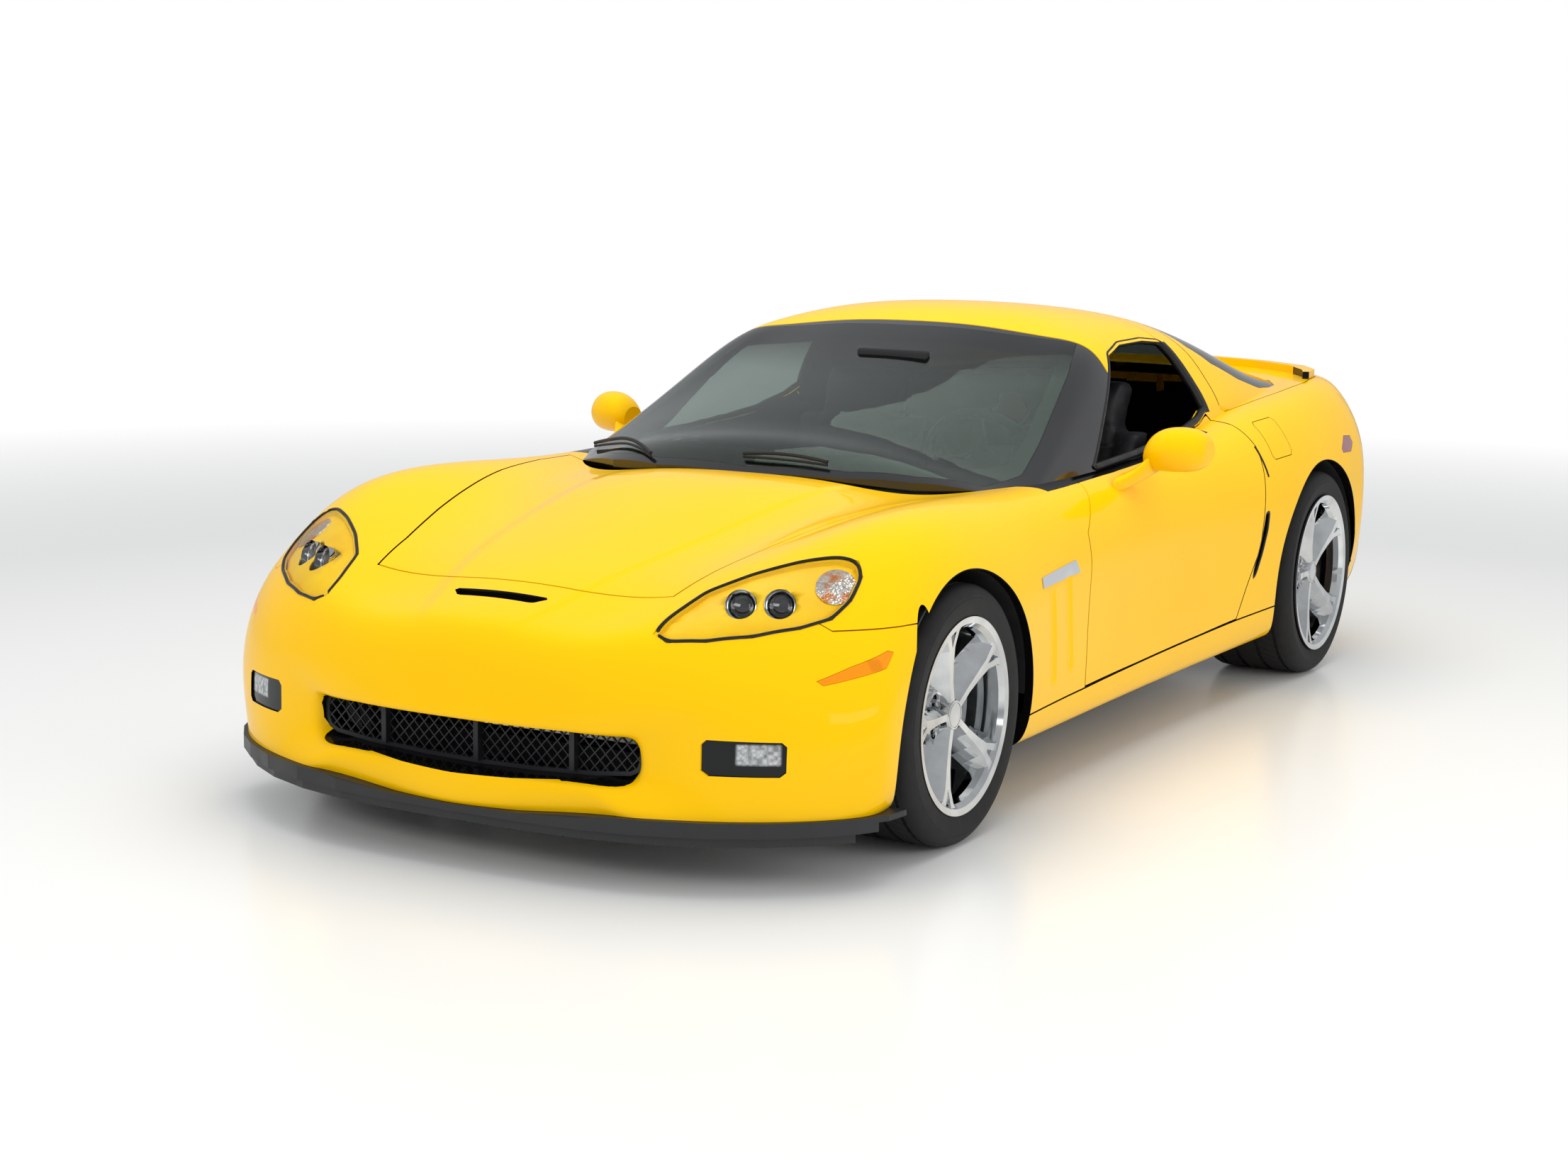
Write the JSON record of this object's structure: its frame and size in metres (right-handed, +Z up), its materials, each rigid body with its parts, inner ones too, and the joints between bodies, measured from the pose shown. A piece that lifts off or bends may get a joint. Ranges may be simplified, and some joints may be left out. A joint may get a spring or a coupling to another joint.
{
  "type": "sports coupe car",
  "caption": "Low two-door sports coupe in bright yellow with a long hood, black screen pillars, glass rear hatch and five-spoke polished wheels.",
  "frame": {"origin": "on the floor under the middle of the car's bounding box", "axes": "+X to the car's left, the driver's side; -Y forward; +Z up"},
  "size_m": [2.084, 4.4668, 1.2394],
  "materials": {
    "body_paint": "gloss",
    "black_frame": "gloss",
    "black_trim": "satin",
    "black_plastic": "matte",
    "tinted_glass": "clear tinted",
    "lamp_glass": "clear",
    "red_lens": "gloss",
    "lamp_body": "gloss",
    "tyre_rubber": "matte",
    "polished_wheel": "polished",
    "disc_iron": "machined",
    "cast_carrier": "cast",
    "carpet": "matte",
    "seat_leather": "satin",
    "wheel_leather": "satin",
    "frame_steel": "satin",
    "engine_alloy": "cast",
    "exhaust_steel": "satin",
    "arm_alloy": "cast"
  },
  "bodies": {
    "car_body": {"front_fascia": "body_paint", "front_splitter": "black_trim", "fenders": "body_paint", "quarters": "body_paint", "rear_fascia": "body_paint", "rocker_panels": "body_paint", "roof_panel": "body_paint", "windshield": "tinted_glass", "windshield_frame": "black_frame", "knuckles_rear": "cast_carrier", "headlamps": "lamp_body", "headlamp_lenses": "lamp_glass", "front_lamps": "lamp_glass", "tail_lamps": "red_lens", "grille": "black_trim", "wheel_liners": "black_plastic", "cabin_tub": "carpet", "dashboard": "black_plastic", "seats": "seat_leather", "chassis_frame": "frame_steel", "powertrain": "engine_alloy", "exhaust": "exhaust_steel", "suspension_arms": "arm_alloy"},
    "hood_lid": {"hood": "body_paint"},
    "fuel_flap": {"fuel_door": "body_paint"},
    "door_body_left": {"door_left": "body_paint", "mirror_left": "body_paint"},
    "door_body_right": {"door_right": "body_paint", "mirror_right": "body_paint"},
    "hatch": {"hatch_frame": "body_paint", "hatch_glass": "tinted_glass"},
    "steering": {"steering_wheel": "wheel_leather"},
    "carrier_left": {"knuckle_fl": "cast_carrier"},
    "carrier_right": {"knuckle_fr": "cast_carrier"},
    "road_wheel_fl": {"tyre_fl": "tyre_rubber", "wheel_fl": "polished_wheel", "brake_disc_fl": "disc_iron"},
    "road_wheel_fr": {"tyre_fr": "tyre_rubber", "wheel_fr": "polished_wheel", "brake_disc_fr": "disc_iron"},
    "road_wheel_rl": {"tyre_rl": "tyre_rubber", "wheel_rl": "polished_wheel", "brake_disc_rl": "disc_iron"},
    "road_wheel_rr": {"tyre_rr": "tyre_rubber", "wheel_rr": "polished_wheel", "brake_disc_rr": "disc_iron"}
  },
  "joints": [
    {"name": "steering_wheel", "type": "hinge", "parent": "car_body", "child": "steering", "pos_m": [0.385, -0.15, 0.78], "axis": [0, 0.9272, 0.3746], "range_deg": [-480, 480]},
    {"name": "steer_left", "type": "hinge", "parent": "car_body", "child": "carrier_left", "pos_m": [0.7435, -1.392, 0.325], "axis": [0, 0, 1], "range_deg": [-30, 30]},
    {"name": "steer_right", "type": "hinge", "parent": "car_body", "child": "carrier_right", "pos_m": [-0.7435, -1.392, 0.325], "axis": [0, 0, 1], "range_deg": [-30, 30]},
    {"name": "spin_fl", "type": "hinge", "parent": "carrier_left", "child": "road_wheel_fl", "pos_m": [0.8015, -1.392, 0.325], "axis": [1, 0, 0], "continuous": true},
    {"name": "spin_fr", "type": "hinge", "parent": "carrier_right", "child": "road_wheel_fr", "pos_m": [-0.8015, -1.392, 0.325], "axis": [1, 0, 0], "continuous": true},
    {"name": "spin_rl", "type": "hinge", "parent": "car_body", "child": "road_wheel_rl", "pos_m": [0.794, 1.293, 0.339], "axis": [1, 0, 0], "continuous": true},
    {"name": "spin_rr", "type": "hinge", "parent": "car_body", "child": "road_wheel_rr", "pos_m": [-0.794, 1.293, 0.339], "axis": [1, 0, 0], "continuous": true},
    {"name": "hood_hinge", "type": "hinge", "parent": "car_body", "child": "hood_lid", "pos_m": [0, -1.966, 0.652], "axis": [1, 0, 0], "range_deg": [0, 50]},
    {"name": "door_left_hinge", "type": "hinge", "parent": "car_body", "child": "door_body_left", "pos_m": [0.892, -0.47, 0.5], "axis": [0, 0, -1], "range_deg": [0, 65]},
    {"name": "door_right_hinge", "type": "hinge", "parent": "car_body", "child": "door_body_right", "pos_m": [-0.892, -0.47, 0.5], "axis": [0, 0, 1], "range_deg": [0, 65]},
    {"name": "hatch_hinge", "type": "hinge", "parent": "car_body", "child": "hatch", "pos_m": [0, 0.762, 1.224], "axis": [1, 0, 0], "range_deg": [0, 60]},
    {"name": "fuel_flap_hinge", "type": "hinge", "parent": "car_body", "child": "fuel_flap", "pos_m": [0.885, 0.8745, 0.814], "axis": [0.5657, 0, -0.8246], "range_deg": [0, 100]}
  ],
  "couplings": [
    {"joint": "steer_left", "follows": "steering_wheel", "ratio": 0.0625},
    {"joint": "steer_right", "follows": "steering_wheel", "ratio": 0.0625}
  ]
}
